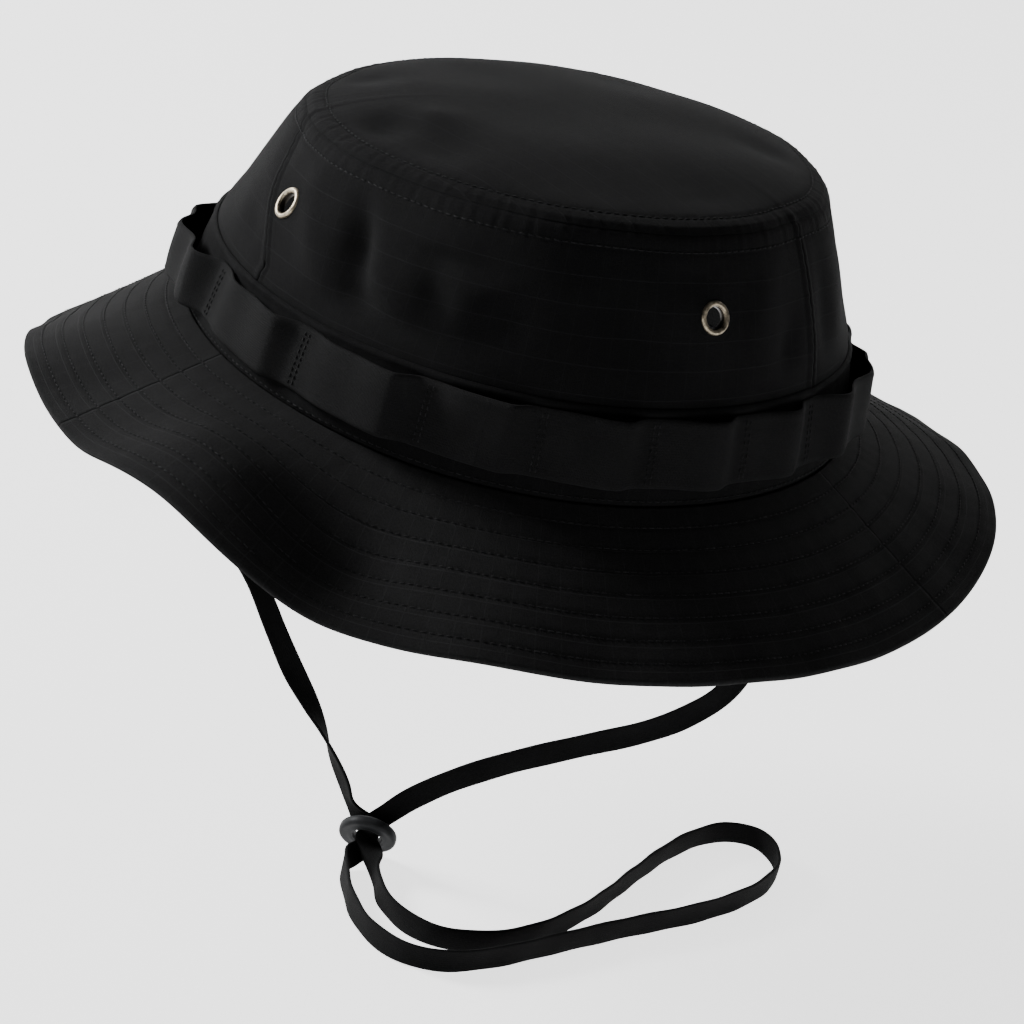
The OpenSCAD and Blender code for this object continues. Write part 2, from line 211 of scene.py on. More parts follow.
def out_dir(t):
    n = np.stack([np.sin(t) / HEAD_W, -np.cos(t) / HEAD_D], -1)
    return n / np.linalg.norm(n, axis=-1, keepdims=True)


def seam_z(t):
    return -SEAM_DIP * np.cos(2 * t)


def wall_point(t, u, d, relief=True):
    """Point of the crown wall at azimuth t (radians), height share u, offset d (mm)."""
    t, u, d = np.broadcast_arrays(t, u, d)
    bow = WALL_BOW * 4 * u * (1 - u)
    x = (HEAD_W * (1 - u) + TIP_W * u + bow) * np.sin(t)
    y = -(HEAD_D * (1 - u) + TIP_D * u + bow) * np.cos(t)
    z = u * (CROWN_H + CROWN_LEAN * x) + (1 - u) * seam_z(t)
    n = out_dir(t)
    if relief:
        d = d + wall_relief(t, u)
    return np.stack([x + d * n[..., 0], y + d * n[..., 1], z], -1)


def up(h):
    """Height share of a height above the brim seam."""
    return h / WALL_RISE


TIP_DIMPLES = (
    (-48, -38, 9, 2.4), (-36, -30, 7, -1.0), (-30, -50, 12, 1.6), (10, -58, 16, 1.0),
    (38, -44, 14, 1.3), (-8, -20, 18, 0.9), (30, 6, 16, 0.9), (-30, 22, 16, 1.0),
    (8, 48, 16, 1.1), (52, 10, 9, 1.2), (-58, 8, 9, 1.4),
)


def tip_point(t, r, d):
    """Point of the domed tip: r runs from its middle (0) to its seam (1)."""
    t, r, d = np.broadcast_arrays(t, r, d)
    rim = wall_point(t, np.ones_like(t), np.zeros_like(t))
    x, y = rim[..., 0] * r, rim[..., 1] * r
    z = CROWN_H + (rim[..., 2] - CROWN_H) * r + TIP_DOME * (1 - r ** 3.2) + d
    inner = smooth(1 - r, 0.02, 0.2)
    for px, py, wide, depth in TIP_DIMPLES:
        z = z - depth * inner * np.exp(-((x - px) ** 2 + (y - py) ** 2) / wide ** 2)
    pucker = 0.06 * (np.sin(t * 97) + np.sin(t * 151 + 1)) * bump(r, 0.97, 0.04)
    pucker = pucker - 0.25 * bump(r, TOPSTITCH_R, 0.010)
    return np.stack([x, y, z + pucker], -1)


def slope(t):
    a = BRIM_SLOPE + 0 * t
    for height, phase, count in BRIM_WAVES:
        a = a + height * np.cos(count * t + phase * RAD)
    for azimuth, steeper, width in BRIM_FOLDS:
        a = a + steeper * bump(turn(t, azimuth), 0, width)
    return a * RAD


# A bulge in the brim and the hollow beside it: azimuth and height
BRIM_VALLEY = ((-31, 4.6), (-13, -4.8))


def brim_relief(t, s):
    """Waves and quilted channels of the brim's cloth, in mm along its normal."""
    grow = smooth(s, 0, BRIM_W)
    wave = 0.28 * grow * brim_ripple(t, s / 26)
    for azimuth, height in BRIM_VALLEY:
        wave = wave + height * bump(turn(t, azimuth), 0, 8.5) * bump(s, 33, 16)
    channel = 0 * s
    for row in BRIM_ROWS:
        channel = channel - 0.17 * bump(s, row, 0.8)
    crumple = 0.05 * fine_ripple(t, s / 3.4) * (1 - 0.6 * bump(s % ROW_PITCH, 3.1, 1.6))
    return wave, channel + crumple


def brim_point(t, s, d, side=0):
    """Point of the brim: s mm out from its seam, d mm above its middle face.
    The quilting of the upper (side 1) or under (side -1) cloth is added to d."""
    t, s, d = np.broadcast_arrays(t, s, d)
    wave, quilt = brim_relief(t, s)
    fade = 1 - smooth(s, BRIM_W - 1.6, BRIM_W)
    d = d + wave + side * quilt * fade
    n = out_dir(t)
    a = slope(t)
    c = wall_point(t, np.zeros_like(t), np.zeros_like(t), relief=False)
    out = s * (1 - BRIM_NARROW * bump(turn(t, NARROW_AZ), 0, NARROW_W))
    run = out * np.cos(a) + d * np.sin(a)
    drop = out * np.sin(a) - d * np.cos(a)
    return np.stack([c[..., 0] + n[..., 0] * run, c[..., 1] + n[..., 1] * run, c[..., 2] - drop], -1)


# ---- mesh making ----

def new_object(name, points, faces, material, uv=None, smooth_shading=True):
    """A mesh object from points in mm, with an optional map in mm called cloth."""
    mesh = bpy.data.meshes.new(name)
    mesh.from_pydata((np.asarray(points) * MM).tolist(), [], faces)
    mesh.update()
    if uv is not None:
        layer = mesh.uv_layers.new(name="cloth")
        corner = np.empty(len(mesh.loops), dtype=np.int64)
        mesh.loops.foreach_get("vertex_index", corner)
        layer.data.foreach_set("uv", np.asarray(uv, dtype=np.float32)[corner].ravel())
    mesh.polygons.foreach_set("use_smooth", [smooth_shading] * len(mesh.polygons))
    mesh.materials.append(material)
    obj = bpy.data.objects.new(name, mesh)
    bpy.context.collection.objects.link(obj)
    return obj


def stands_for(obj, node, body="hat"):
    """The piece rides on a body and is drawn in place of a node of the solid model."""
    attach(obj, body)
    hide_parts(node)


def grid_faces(rows, columns, close_rows=False, close_columns=False):
    """Faces of a grid of points, rows by columns, closed round on itself if asked."""
    r = np.arange(rows if close_rows else rows - 1)
    c = np.arange(columns if close_columns else columns - 1)
    a, b = np.meshgrid(r, c, indexing="ij")
    a2, b2 = (a + 1) % rows, (b + 1) % columns
    quads = np.stack([a * columns + b, a * columns + b2, a2 * columns + b2, a2 * columns + b], -1)
    return quads.reshape(-1, 4).tolist()


def swept(name, sections, uv, material, ring):
    """A closed solid from sections (count, points, 3); ring joins last to first."""
    count, k = sections.shape[:2]
    faces = grid_faces(count, k, close_rows=ring, close_columns=True)
    if not ring:
        faces.append(list(range(k - 1, -1, -1)))
        faces.append([(count - 1) * k + j for j in range(k)])
    faces = [f[::-1] for f in faces]
    return new_object(name, sections.reshape(-1, 3), faces, material, uv.reshape(-1, 2))


def arc_azimuths(a, b, step):
    """Azimuths from a to b degrees, in radians."""
    count = max(int(round((b - a) / step)), 2)
    return np.linspace(a, b, count + 1) * RAD


def full_azimuths(count):
    return np.arange(count) / count * 2 * math.pi


def arc_length(t):
    """Rough distance round the crown from the front, in mm."""
    return t * (HEAD_W + HEAD_D) / 2


# ---- materials ----

class Nodes:
    """Short calls for building a node material."""

    def __init__(self, name):
        self.material = bpy.data.materials.new(name)
        self.material.use_nodes = True
        self.tree = self.material.node_tree
        self.shader = self.tree.nodes["Principled BSDF"]

    def add(self, kind, **settings):
        node = self.tree.nodes.new(kind)
        for key, value in settings.items():
            setattr(node, key, value)
        return node

    def link(self, a, b):
        self.tree.links.new(a, b)

    def feed(self, socket, value):
        if isinstance(value, (int, float)):
            socket.default_value = value
        else:
            self.link(value, socket)

    def math(self, operation, a, b=0.0, c=0.0):
        node = self.add("ShaderNodeMath", operation=operation)
        for socket, value in zip(node.inputs, (a, b, c)):
            self.feed(socket, value)
        return node.outputs[0]

    def sine(self, coordinate, pitch):
        return self.math("SINE", self.math("MULTIPLY", coordinate, math.pi / pitch))

    def waves(self, coordinate, pitch):
        """Round ridges a pitch apart, from 0 to 1."""
        return self.math("ABSOLUTE", self.sine(coordinate, pitch))

    def layers(self, *parts):
        """Sum of (socket, weight) pairs."""
        total = self.math("MULTIPLY", *parts[0])
        for part in parts[1:]:
            total = self.math("ADD", total, self.math("MULTIPLY", *part))
        return total

    def cloth_map(self):
        """The across and along coordinates of the cloth, in mm."""
        uv = self.add("ShaderNodeUVMap", uv_map="cloth")
        split = self.add("ShaderNodeSeparateXYZ")
        self.link(uv.outputs[0], split.inputs[0])
        return uv.outputs[0], split.outputs[0], split.outputs[1]

    def object_map(self):
        return self.add("ShaderNodeTexCoord").outputs["Object"]

    def noise(self, vector, scale, detail=3.0, rough=0.55):
        node = self.add("ShaderNodeTexNoise")
        self.link(vector, node.inputs["Vector"])
        node.inputs["Scale"].default_value = scale
        node.inputs["Detail"].default_value = detail
        node.inputs["Roughness"].default_value = rough
        return node.outputs["Fac"]

    def ramp(self, fac, low, high, colours):
        """Mixes between two colours as fac goes from low to high."""
        node = self.add("ShaderNodeMapRange", clamp=True)
        self.feed(node.inputs["Value"], fac)
        node.inputs["From Min"].default_value = low
        node.inputs["From Max"].default_value = high
        mix = self.add("ShaderNodeMix", data_type="RGBA")
        self.link(node.outputs[0], mix.inputs["Factor"])
        mix.inputs["A"].default_value = (*colours[0], 1)
        mix.inputs["B"].default_value = (*colours[1], 1)
        return mix.outputs["Result"]

    def tint(self, colour, fac, towards):
        mix = self.add("ShaderNodeMix", data_type="RGBA")
        self.feed(mix.inputs["Factor"], fac)
        self.link(colour, mix.inputs["A"])
        mix.inputs["B"].default_value = (*towards, 1)
        return mix.outputs["Result"]

    def heather(self, colour, slub, dark):
        """Mottles a colour with darker flecks where the slubs of the yarn are."""
        fleck = self.math("MULTIPLY", self.math("SUBTRACT", slub, 0.38), 2.4)
        fleck = self.math("MINIMUM", self.math("MAXIMUM", fleck, 0.0), 1.0)
        return self.tint(colour, fleck, tuple(c * 0.35 for c in dark))

    def set_bump(self, height, distance, strength=1.0):
        node = self.add("ShaderNodeBump")
        node.inputs["Strength"].default_value = strength
        node.inputs["Distance"].default_value = distance
        self.link(height, node.inputs["Height"])
        self.link(node.outputs[0], self.shader.inputs["Normal"])

    def finish(self, colour, roughness, sheen=0.0, metallic=0.0):
        inputs = self.shader.inputs
        self.link(colour, inputs["Base Color"])
        self.feed(inputs["Roughness"], roughness)
        inputs["Metallic"].default_value = metallic
        inputs["Sheen Weight"].default_value = sheen
        inputs["Sheen Roughness"].default_value = 0.45
        inputs["Specular IOR Level"].default_value = 0.04
        return self.material


def stripe(n, coordinate, pitch, width):
    """1 along thin lines a pitch apart, falling to 0 at half their width."""
    cell = n.math("PINGPONG", coordinate, pitch / 2)
    return n.math("SUBTRACT", 1.0, n.math("MINIMUM", n.math("DIVIDE", cell, width / 2), 1.0))


def plain_weave(n, x, y, pitch):
    """Height of a plain weave of yarns a pitch apart."""
    warp, weft = n.waves(x, pitch), n.waves(y, pitch)
    cross = n.math("MULTIPLY", n.sine(x, pitch), n.sine(y, pitch))
    over = n.math("GREATER_THAN", cross, 0.0)
    under = n.math("SUBTRACT", 1.0, over)
    return n.math("ADD", n.math("MULTIPLY", over, warp), n.math("MULTIPLY", under, weft))


RIPSTOP_PITCH = 6.2
YARN_PITCH = 0.43
CLOTH_BUMP = 0.00022              # in metres


def ripstop_material(name, dark, light, slant=0.0):
    """Heathered ripstop: a plain weave with a grid of thicker yarns, paler in places from wear."""
    n = Nodes(name)
    vector, x, y = n.cloth_map()
    if slant:
        turned = n.add("ShaderNodeVectorRotate", rotation_type="Z_AXIS")
        n.link(vector, turned.inputs["Vector"])
        turned.inputs["Angle"].default_value = slant * RAD
        split = n.add("ShaderNodeSeparateXYZ")
        n.link(turned.outputs[0], split.inputs[0])
        x, y = split.outputs[0], split.outputs[1]
    drift = n.noise(vector, 0.03, 1.0)
    x = n.math("ADD", x, n.math("MULTIPLY", drift, 1.0))
    y = n.math("ADD", y, n.math("MULTIPLY", n.noise(vector, 0.025, 1.0), 1.0))
    weave = plain_weave(n, x, y, YARN_PITCH)
    grid = n.math("MAXIMUM",
                  n.math("MULTIPLY", stripe(n, x, RIPSTOP_PITCH, 0.5), 0.5),
                  stripe(n, y, RIPSTOP_PITCH * 1.15, 0.5))
    slub = n.noise(vector, 1.6, 6.0, 0.85)
    patch = n.noise(vector, 0.035, 4.0, 0.6)
    colour = n.ramp(patch, 0.32, 0.70, (dark, light))
    pale = tuple(c * 2.6 for c in light)
    colour = n.tint(colour, n.math("MULTIPLY", weave, 0.06), pale)
    colour = n.heather(colour, slub, dark)
    paleness = n.noise(vector, 0.4, 3.0, 0.7)
    colour = n.tint(colour, n.math("MULTIPLY", grid, n.math("MULTIPLY", paleness, 0.6)), pale)
    fluff = n.noise(vector, 7.0, 2.0, 0.8)
    height = n.layers((weave, 0.2), (grid, 0.4), (slub, 1.5), (fluff, 0.5))
    n.set_bump(height, CLOTH_BUMP, 1.0)
    rough = n.math("ADD", 0.78, n.math("MULTIPLY", slub, 0.18))
    return n.finish(colour, rough, sheen=0.006)


def webbing_material(name, dark, light, rib):
    """Ribbed webbing: ribs a pitch apart across the band."""
    n = Nodes(name)
    vector, x, y = n.cloth_map()
    ribs = n.waves(x, rib)
    yarns = n.waves(y, rib * 1.6)
    slub = n.noise(vector, 1.7, 6.0, 0.85)
    patch = n.noise(vector, 0.05, 3.0)
    colour = n.ramp(patch, 0.3, 0.7, (dark, light))
    pale = tuple(c * 1.7 for c in light)
    colour = n.tint(colour, n.math("MULTIPLY", ribs, 0.15), pale)
    colour = n.heather(colour, slub, dark)
    height = n.layers((ribs, 0.4), (yarns, 0.2), (slub, 1.5))
    n.set_bump(height, CLOTH_BUMP, 1.0)
    rough = n.math("ADD", 0.72, n.math("MULTIPLY", slub, 0.2))
    return n.finish(colour, rough, sheen=0.006)


def thread_material(name, colour_a, colour_b):
    n = Nodes(name)
    where = n.object_map()
    twist = n.add("ShaderNodeTexWave")
    n.link(where, twist.inputs["Vector"])
    twist.inputs["Scale"].default_value = 900
    twist.inputs["Distortion"].default_value = 1.5
    colour = n.ramp(n.noise(where, 180, 2.0), 0.35, 0.65, (colour_a, colour_b))
    n.set_bump(twist.outputs["Fac"], 0.00008, 0.7)
    rough = n.math("ADD", 0.5, n.math("MULTIPLY", n.noise(where, 400, 2.0), 0.2))
    return n.finish(colour, rough, sheen=0.02)


def metal_material(name, dark, bright):
    """Antique brass: dark patina in the hollows and rubbed bright on the edges."""
    n = Nodes(name)
    where = n.object_map()
    patina = n.noise(where, 700, 6.0, 0.65)
    edge = n.add("ShaderNodeNewGeometry").outputs["Pointiness"]
    paleness = n.math("ADD", n.math("MULTIPLY", n.math("SUBTRACT", edge, 0.5), 5.0), patina)
    colour = n.ramp(paleness, 0.38, 0.72, (dark, bright))
    scratch = n.noise(where, 2600, 2.0)
    n.set_bump(n.math("ADD", patina, n.math("MULTIPLY", scratch, 0.4)), 0.00005, 0.6)
    rough = n.math("ADD", 0.28, n.math("MULTIPLY", patina, 0.3))
    material = n.finish(colour, rough, metallic=1.0)
    n.shader.inputs["Specular IOR Level"].default_value = 0.5
    return material


def keeper_material(name, dark, light):
    n = Nodes(name)
    where = n.object_map()
    grain = n.add("ShaderNodeTexVoronoi", feature="F1")
    n.link(where, grain.inputs["Vector"])
    grain.inputs["Scale"].default_value = 2400
    cloud = n.noise(where, 300, 5.0)
    edge = n.add("ShaderNodeNewGeometry").outputs["Pointiness"]
    # Lighter at the edges by pointiness: a painted highlight along the keeper's rims; the cloud noise is
    # the plastic's own uneven tone.
    paleness = n.math("ADD", n.math("MULTIPLY", n.math("SUBTRACT", edge, 0.5), 3.0), cloud)
    colour = n.ramp(paleness, 0.3, 0.8, (dark, light))
    height = n.math("ADD", n.math("MULTIPLY", grain.outputs["Distance"], 0.6), cloud)
    n.set_bump(height, 0.00006, 0.6)
    rough = n.math("ADD", 0.34, n.math("MULTIPLY", cloud, 0.22))
    return n.finish(colour, rough)


FLOOR_GLOW = 2.1


def floor_material():
    n = Nodes("studio_floor")
    where = n.object_map()
    colour = n.ramp(n.noise(where, 3.0, 2.0), 0.3, 0.7, ((0.44, 0.44, 0.44), (0.46, 0.46, 0.46)))
    n.shader.inputs["Emission Color"].default_value = (1, 1, 1, 1)
    n.shader.inputs["Emission Strength"].default_value = FLOOR_GLOW
    return n.finish(colour, 0.9)


BLACK = (0.0038, 0.0039, 0.0041)
CHARCOAL = (0.0062, 0.0063, 0.0066)

crown_cloth = ripstop_material("ripstop_crown", BLACK, CHARCOAL)
tip_cloth = ripstop_material("ripstop_tip", BLACK, CHARCOAL, slant=38)
brim_cloth = ripstop_material("ripstop_brim", (0.0074, 0.0075, 0.0077), (0.0112, 0.0113, 0.0116))
loop_webbing = webbing_material("loop_webbing", (0.0064, 0.0065, 0.0067), (0.0098, 0.0099, 0.0102), 0.42)
LINING = (0.005, 0.005, 0.0053), (0.008, 0.008, 0.0083)
sweat_cloth = webbing_material("sweatband_twill", *LINING, 0.6)
inner_tape = webbing_material("binding_tape", *LINING, 0.5)
cord_weave = webbing_material("cord_weave", (0.0040, 0.0041, 0.0042), (0.0062, 0.0063, 0.0065), 0.36)
thread = thread_material("sewing_thread", (0.004, 0.004, 0.0042), (0.013, 0.0132, 0.0137))
antique = metal_material("antique_brass", (0.050, 0.042, 0.032), (0.36, 0.31, 0.23))
# A near-black copy of the brass for the eyelet barrels inside the vents: painted shade in the holes.
brass_in_painted_shade = metal_material("brass_in_painted_shade", (0.006, 0.005, 0.004), (0.018, 0.015, 0.012))
keeper_finish = keeper_material("keeper_plastic", (0.010, 0.0104, 0.011), (0.026, 0.027, 0.0285))
stiffener = ripstop_material("interlining_weave", (0.012, 0.012, 0.012), (0.02, 0.02, 0.02))


# ---- camera and light ----

CAM_TURN, CAM_RISE, CAM_ROLL = -1.7, 17.5, 14.2    # degrees
CAM_AWAY = 1.3
CAM_LENS = 164.0
AIM_RIGHT, AIM_UP = 0.010, -0.040                  # where the view's middle lies, in metres


def make_camera():
    data = bpy.data.cameras.new("camera")
    data.lens = CAM_LENS
    data.sensor_width = 36
    data.clip_end = 50
    camera = bpy.data.objects.new("camera", data)
    bpy.context.collection.objects.link(camera)
    a, e = CAM_TURN * RAD, CAM_RISE * RAD
    back = Vector((-math.sin(a) * math.cos(e), -math.cos(a) * math.cos(e), math.sin(e)))
    right = Vector((math.cos(a), -math.sin(a), 0))
    upward = back.cross(right)
    place = back * CAM_AWAY
    aim = right * AIM_RIGHT + upward * AIM_UP
    look = (place - aim).normalized()
    right = upward.cross(look).normalized()
    upward = look.cross(right)
    r = CAM_ROLL * RAD
    right_rolled = right * math.cos(r) + upward * math.sin(r)
    up_rolled = upward * math.cos(r) - right * math.sin(r)
    matrix = Matrix((right_rolled, up_rolled, look)).transposed().to_4x4()
    matrix.translation = place
    camera.matrix_world = matrix
    bpy.context.scene.camera = camera


make_camera()


def area_light(name, place, size, power):
    """A soft round light at a place in metres, turned towards the hat."""
    data = bpy.data.lights.new(name, "AREA")
    data.shape = "DISK"
    data.size = size
    data.energy = power
    light = bpy.data.objects.new(name, data)
    bpy.context.collection.objects.link(light)
    light.location = place
    light.rotation_euler = Vector(place).to_track_quat("Z", "Y").to_euler()


area_light("key", (-1.78, 0.30, 0.90), 0.7, 112)
area_light("fill", (1.2, -1.5, 1.1), 1.6, 4)

world = bpy.data.worlds.new("studio")
world.use_nodes = True
world.node_tree.nodes["Background"].inputs["Color"].default_value = (1, 1, 1, 1)
world.node_tree.nodes["Background"].inputs["Strength"].default_value = 0.10
bpy.context.scene.world = world


def make_floor():
    """A pale sheet that lies flat under the object and curves up far behind it."""
    half, flat, radius = 4000.0, 3000.0, 1500.0
    profile = [(-half, 0.0), (flat, 0.0)]
    for i in range(1, 13):
        a = i / 12 * math.pi / 2
        profile.append((flat + radius * math.sin(a), radius * (1 - math.cos(a))))
    profile.append((flat + radius, radius + 3000))
    points = [(x, y, FLOOR_Z + z) for x in (-half, half) for y, z in profile]
    k = len(profile)
    faces = [[i, k + i, k + i + 1, i + 1] for i in range(k - 1)]
    floor = new_object("studio_floor", points, faces, floor_material())


make_floor()


# ---- chin cord ----

LEFT_ROUTE = (
    ((-89, 0, 5.8), (0, 1, 0)),
    ((-89, 0, -2), (0, 1, 0)),
    ((-89, -1, -12), (0.2, 1, 0)),
    ((-87.5, -4, -25), (0.4, 0.9, 0)),
    ((-83, -9, -38), (0.5, 0.8, 0.3)),
    ((-75, -14, -51), (0.5, 0.8, 0.3)),
    ((-64, -19.5, -63), (0.5, 0.8, 0.3)),
    ((-53, -24, -74), (0.5, 0.8, 0.3)),
    ((-45, -26, -85), (0.6, 0.6, 0.4)),
    ((-38, -27, -94.5), (0.7, 0.6, 0.4)),
    ((-31.5, -28, -102), (0.5, 0.8, 0.3)),
    ((-26, -29, -108.5), (0, 1, 0)),
    ((-21, -30, -115.5), (-0.4, 0.9, -0.2)),
    ((-16.5, -30, -122), (-0.6, 0.8, -0.3)),
    ((-13.5, -30, -127), (-0.6, 0.8, -0.1)),
    ((-9.3, -31.1, -130.8), (-0.9, 0.4, 0)),
    ((-6, -33.1, -132.9), (-1, 0, 0)),
    ((-6, -34.6, -134.1), (-1, 0, 0)),
)

RIGHT_ROUTE = (
    ((89, 0, 5.8), (0, 1, 0)),
    ((89, 0, -2), (0, 1, 0)),
    ((90, -2, -13), (0, 1, 0)),
    ((91, -6, -26), (0.1, 0.9, 0)),
    ((90, -12, -40), (0.3, 0.9, 0)),
    ((87, -19, -54), (0.7, 0.6, -0.2)),
    ((81, -25, -68), (0.8, 0.2, -0.5)),
    ((72, -26.5, -78), (0.6, 0, -0.8)),
    ((61, -27, -86), (0.5, 0, -0.9)),
    ((46, -28, -94), (0.5, 0, -0.9)),
    ((28, -29, -104), (0.5, 0, -0.8)),
    ((14, -30, -113), (0.6, 0, -0.8)),
    ((4, -31, -121), (0.7, 0, -0.7)),
    ((-2, -32, -127.2), (0.9, 0.1, -0.5)),
    ((-4.8, -32.8, -130.2), (1, 0, -0.2)),
    ((-6, -33.8, -131.9), (1, 0, 0)),
    ((-6, -35.4, -133.1), (1, 0, 0)),
)

# The loop below the keeper: it leads down, lies on the level LIE and leads up again
LIE = -137.8
TAIL_LIE = (
    (-10, -49), (-8, -61), (-4, -75), (3, -88), (13, -95.5), (25, -94), (38, -83),
    (53, -65), (72, -41), (89, -20), (101, -2), (108, 13), (111, 27), (109, 39),
    (103, 46), (94, 44), (86, 34), (78, 17), (69, -8), (60, -34), (51, -54),
    (42, -68), (32, -77), (21, -80.5), (11, -76), (3.5, -65), (0, -52),
)
TAIL_ROUTE = (
    ((-6, -34.6, -134.1), (-1, 0, 0)),
    ((-6, -36.2, -135.3), (-1, 0, 0)),
    ((-6.4, -38.1, -137), (-1, 0, 0.3)),
    ((-8.6, -42, LIE), (-0.7, 0, 0.7)),
    *(((x, y, LIE), (0, 0, 1)) for x, y in TAIL_LIE),
    ((-1.5, -45, -137.2), (0.4, 0, 0.9)),
    ((-4, -40, -136), (0.8, 0, 0.5)),
    ((-6, -37, -134.3), (1, 0, 0)),
    ((-6, -35.4, -133.1), (1, 0, 0)),
)


def unit(v):
    return v / np.linalg.norm(v, axis=-1, keepdims=True)


def spline(values, steps):
    """A smooth curve through the values, with steps points from each to the next."""
    v = np.asarray(values, dtype=float)
    before = np.vstack([2 * v[0] - v[1], v[:-2]])
    a, b = v[:-1], v[1:]
    after = np.vstack([v[2:], 2 * v[-1] - v[-2]])
    s = np.arange(steps)[None, :, None] / steps
    m0 = (b - before)[:, None] / 2
    m1 = (after - a)[:, None] / 2
    a, b = a[:, None], b[:, None]
    points = ((2 * s ** 3 - 3 * s ** 2 + 1) * a + (s ** 3 - 2 * s ** 2 + s) * m0
              + (-2 * s ** 3 + 3 * s ** 2) * b + (s ** 3 - s ** 2) * m1)
    return np.vstack([points.reshape(-1, v.shape[1]), v[-1:]])


def tape_section():
    """Outline of the flat cord: half round edges, a slight hollow down its middle."""
    a, b = TAPE_W / 2, TAPE_T / 2
    turn_points = [math.pi / 2 - math.pi * i / 6 for i in range(7)]
    right = [(a - b + b * math.cos(p), b * math.sin(p)) for p in turn_points]
    flat = [a * f for f in (0.6, 0.3, 0.0, -0.3, -0.6)]
    hollow = 0.12
    lower = [(x, -b + hollow * (1 - (x / a) ** 2)) for x in flat]
    left = [(-x, -y) for x, y in right]
    upper = [(-x, -y) for x, y in lower]
    return np.array(right + lower + left + upper)


def make_tape(name, route, phase, folded):
    """The flat cord along a route. It is folded lengthwise where it meets the keeper,
    at its end or at both ends; folded gives the fold there and which way it opens."""
    places = spline([r[0] for r in route], 8)
    wide = spline([r[1] for r in route], 8)
    direction = unit(np.gradient(places, axis=0))
    normal = unit(np.cross(direction, wide))
    wide = np.cross(normal, direction)
    outline = tape_section()
    run = np.concatenate([[0], np.cumsum(np.linalg.norm(np.diff(places, axis=0), axis=1))])
    ends = smooth(run, 2, 14) * smooth(run[-1] - run, 2, 14)
    flutter = 0.16 * np.sin(run / 3.1 + phase) * ends
    curl = 0.35 * np.sin(run / 17 + phase) * ends
    across = outline[:, 0][None] / (TAPE_W / 2)
    bend = curl[:, None] * across ** 2 + flutter[:, None] * across
    start, end = folded
    fold = start * (1 - smooth(run, 3, 15)) + end * (1 - smooth(run[-1] - run, 3, 15))
    fold = np.where(abs(fold) < 1e-3, 1e-3, fold)[:, None]
    tight = fold / (TAPE_W / 2)
    angle = fold * across
    thick = outline[None, :, 1]
    x = np.sin(angle) * (1 / tight - thick)
    z = (1 - np.cos(angle) - (1 - np.cos(fold)) / 2) / tight + np.cos(angle) * thick + bend
    sections = places[:, None] + wide[:, None] * x[..., None] + normal[:, None] * z[..., None]
    uv = np.stack(np.broadcast_arrays(run[:, None], outline[None, :, 0]), -1)
    tape = swept(name, sections, uv, cord_weave, ring=False)
    return tape, places


def mm_point(x, y, z):
    return (x * MM, y * MM, z * MM)


left_tape, left_places = make_tape("chin_tape_left", LEFT_ROUTE, 0.4, (0, -0.9))
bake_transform(left_tape)
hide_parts("chin_cord_left")

right_tape, right_places = make_tape("chin_tape_right", RIGHT_ROUTE, 1.9, (0, 0.9))
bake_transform(right_tape)
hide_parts("chin_cord_right")

tail_tape, tail_places = make_tape("chin_tape_loop", TAIL_ROUTE, 3.0, (-0.9, 0.9))
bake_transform(tail_tape)
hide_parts("chin_cord_tail")


# ---- keeper ----

def lathe(name, profile, material, count=96):
    """A closed ring turned about Z from a closed profile of (radius, height) in mm."""
    profile = np.asarray(profile)
    a = full_azimuths(count)
    points = np.stack([
        profile[None, :, 0] * np.cos(a)[:, None],
        profile[None, :, 0] * np.sin(a)[:, None],
        np.broadcast_to(profile[None, :, 1], (count, len(profile))),
    ], -1)
    faces = grid_faces(count, len(profile), close_rows=True, close_columns=True)
    return new_object(name, points.reshape(-1, 3), faces, material)


def round_profile(corners, steps=5):
    """Rounds the corners (radius, height, round) of a closed outline."""
    out = []
    k = len(corners)
    for i in range(k):
        p = np.array(corners[i][:2], float)
        q, r = np.array(corners[i - 1][:2], float), np.array(corners[(i + 1) % k][:2], float)
        cut = corners[i][2]
        a, b = p + unit(q - p) * cut, p + unit(r - p) * cut
        for j in range(steps + 1):
            s = j / steps
            out.append((1 - s) ** 2 * a + 2 * s * (1 - s) * p + s * s * b)
    return np.array(out)


def place_mesh(obj, matrix):
    """Moves the mesh itself, so that the object stays at the origin."""
    obj.data.transform(matrix)
    obj.data.update()


def make_keeper():
    h = KEEPER_T / 2
    profile = round_profile((
        (KEEPER_HOLE_R, h * 0.75, 0.45),
        (KEEPER_HOLE_R + 0.9, h, 0.6),
        (KEEPER_HOLE_R + 2.1, h * 0.86, 0.6),
        (KEEPER_R - 0.2, h, 1.0),
        (KEEPER_R, 0, 0.5),
        (KEEPER_R - 0.2, -h, 1.0),
        (KEEPER_HOLE_R + 2.1, -h * 0.86, 0.6),
        (KEEPER_HOLE_R + 0.9, -h, 0.6),
        (KEEPER_HOLE_R, -h * 0.75, 0.45),
    ))
    disc = lathe("keeper_disc", profile[::-1], keeper_finish)
    lean = Matrix.Rotation(-KEEPER_LEAN * RAD, 4, "X")
    place_mesh(disc, Matrix.Translation(mm_point(*KEEPER_AT)) @ lean)
    stands_for(disc, "cord_keeper", "keeper")


make_keeper()


# ---- stitches ----

